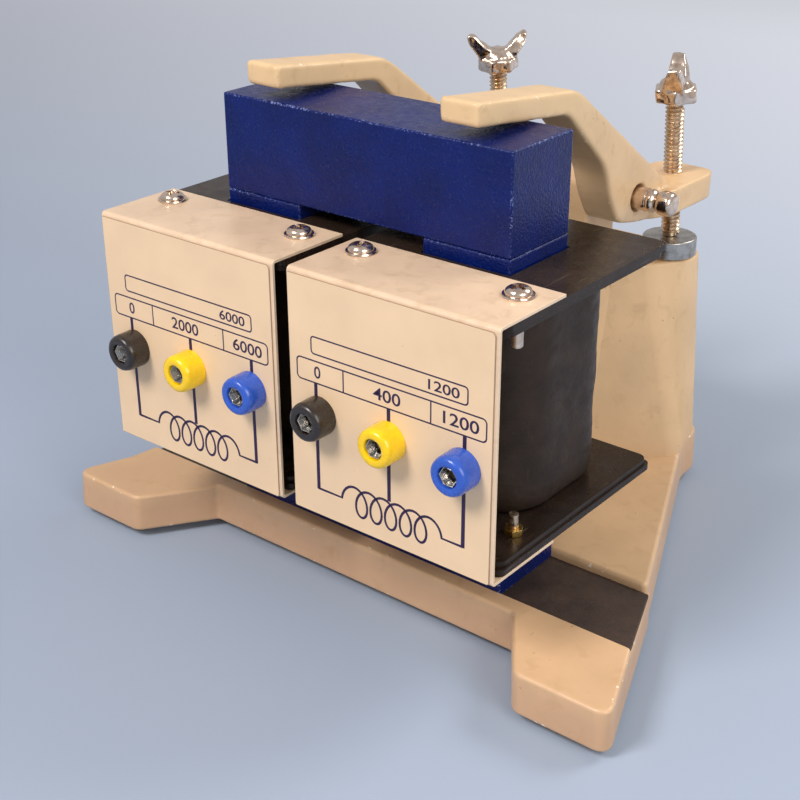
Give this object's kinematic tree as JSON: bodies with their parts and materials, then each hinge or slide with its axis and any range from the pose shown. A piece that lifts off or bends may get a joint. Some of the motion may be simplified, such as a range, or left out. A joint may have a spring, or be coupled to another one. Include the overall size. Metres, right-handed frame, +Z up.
{
  "type": "dissectible transformer",
  "caption": "Bench transformer that comes apart: U-core and yoke, two boxed coils with plug sockets, and clamp arms on a cast stand worked by wing screws.",
  "frame": {"origin": "on the bench, under the middle of the object's outline", "axes": "+Z up; the coils' panels face -Y; +X to the right when facing the panels"},
  "size_m": [0.2328, 0.194, 0.1764],
  "materials": {
    "stand_paint": "satin",
    "arm_paint": "satin",
    "cover_paint": "satin",
    "panel_print": "satin",
    "core_paint": "gloss",
    "pad": "matte",
    "phenolic": "satin",
    "cheek_board": "satin",
    "tape": "satin",
    "rubber": "matte",
    "lead_sleeve": "matte",
    "steel": "brushed",
    "nickel": "polished",
    "screw_thread": "polished",
    "brass": "polished",
    "collar_black": "gloss",
    "collar_yellow": "gloss",
    "collar_blue": "gloss"
  },
  "bodies": {
    "stand": {"stand": "stand_paint", "seat_pad": "pad", "pivot_pin": "steel", "foot_front_left": "rubber", "foot_front_right": "rubber", "foot_back_left": "rubber", "foot_back_right": "rubber", "left_disc": "steel", "right_disc": "steel"},
    "core": {"u_core": "core_paint"},
    "yoke": {"yoke": "core_paint"},
    "left_coil": {"left_bobbin": "phenolic", "left_cheek_low": "cheek_board", "left_cheek_top": "cheek_board", "left_winding": "tape", "left_cover": "cover_paint", "left_label": "panel_print", "left_collar_black": "collar_black", "left_collar_yellow": "collar_yellow", "left_collar_blue": "collar_blue", "left_socket_black": "nickel", "left_socket_yellow": "nickel", "left_socket_blue": "nickel", "left_lead_black": "lead_sleeve", "left_lead_yellow": "lead_sleeve", "left_lead_blue": "lead_sleeve", "left_top_screw_a": "nickel", "left_top_screw_b": "nickel", "left_low_screw_a": "nickel", "left_low_nut_a": "brass", "left_low_screw_b": "nickel", "left_low_nut_b": "brass"},
    "left_arm": {"left_arm": "arm_paint"},
    "left_screw": {"left_shank": "screw_thread"},
    "left_head": {"left_wing": "nickel"},
    "right_coil": {"right_bobbin": "phenolic", "right_cheek_low": "cheek_board", "right_cheek_top": "cheek_board", "right_winding": "tape", "right_cover": "cover_paint", "right_label": "panel_print", "right_collar_black": "collar_black", "right_collar_yellow": "collar_yellow", "right_collar_blue": "collar_blue", "right_socket_black": "nickel", "right_socket_yellow": "nickel", "right_socket_blue": "nickel", "right_lead_black": "lead_sleeve", "right_lead_yellow": "lead_sleeve", "right_lead_blue": "lead_sleeve", "right_top_screw_a": "nickel", "right_top_screw_b": "nickel", "right_low_screw_a": "nickel", "right_low_nut_a": "brass", "right_low_screw_b": "nickel", "right_low_nut_b": "brass"},
    "right_arm": {"right_arm": "arm_paint"},
    "right_screw": {"right_shank": "screw_thread"},
    "right_head": {"right_wing": "nickel"}
  },
  "joints": [
    {"name": "core_slide", "type": "slide", "parent": "stand", "child": "core", "axis": [1, 0, 0], "range_m": [-0.02, 0.02]},
    {"name": "yoke_slide", "type": "slide", "parent": "core", "child": "yoke", "axis": [1, 0, 0], "range_m": [-0.025, 0.025]},
    {"name": "left_coil_lift", "type": "slide", "parent": "core", "child": "left_coil", "axis": [0, 0, 1], "range_m": [0, 0.0042]},
    {"name": "right_coil_lift", "type": "slide", "parent": "core", "child": "right_coil", "axis": [0, 0, 1], "range_m": [0, 0.0042]},
    {"name": "left_arm_swing", "type": "hinge", "parent": "stand", "child": "left_arm", "pos_m": [-0.0383, 0.04215, 0.1254], "axis": [-1, 0, 0], "range_deg": [0, 14]},
    {"name": "left_screw_travel", "type": "slide", "parent": "left_arm", "child": "left_screw", "axis": [0, -0.0872, 0.9962], "range_m": [0, 0.0092]},
    {"name": "left_wing_turn", "type": "hinge", "parent": "left_screw", "child": "left_head", "pos_m": [-0.0383, 0.07845, 0.125], "axis": [0, -0.0872, 0.9962], "range_deg": [0, 2190]},
    {"name": "right_arm_swing", "type": "hinge", "parent": "stand", "child": "right_arm", "pos_m": [0.0383, 0.04215, 0.1254], "axis": [-1, 0, 0], "range_deg": [0, 14]},
    {"name": "right_screw_travel", "type": "slide", "parent": "right_arm", "child": "right_screw", "axis": [0, -0.0872, 0.9962], "range_m": [0, 0.0092]},
    {"name": "right_wing_turn", "type": "hinge", "parent": "right_screw", "child": "right_head", "pos_m": [0.0383, 0.07845, 0.125], "axis": [0, -0.0872, 0.9962], "range_deg": [0, 2190]}
  ],
  "couplings": [
    {"joint": "left_screw_travel", "follows": "left_arm_swing", "m_per_rad": 0.037242},
    {"joint": "left_wing_turn", "follows": "left_arm_swing", "ratio": 156},
    {"joint": "right_screw_travel", "follows": "right_arm_swing", "m_per_rad": 0.037242},
    {"joint": "right_wing_turn", "follows": "right_arm_swing", "ratio": 156}
  ]
}
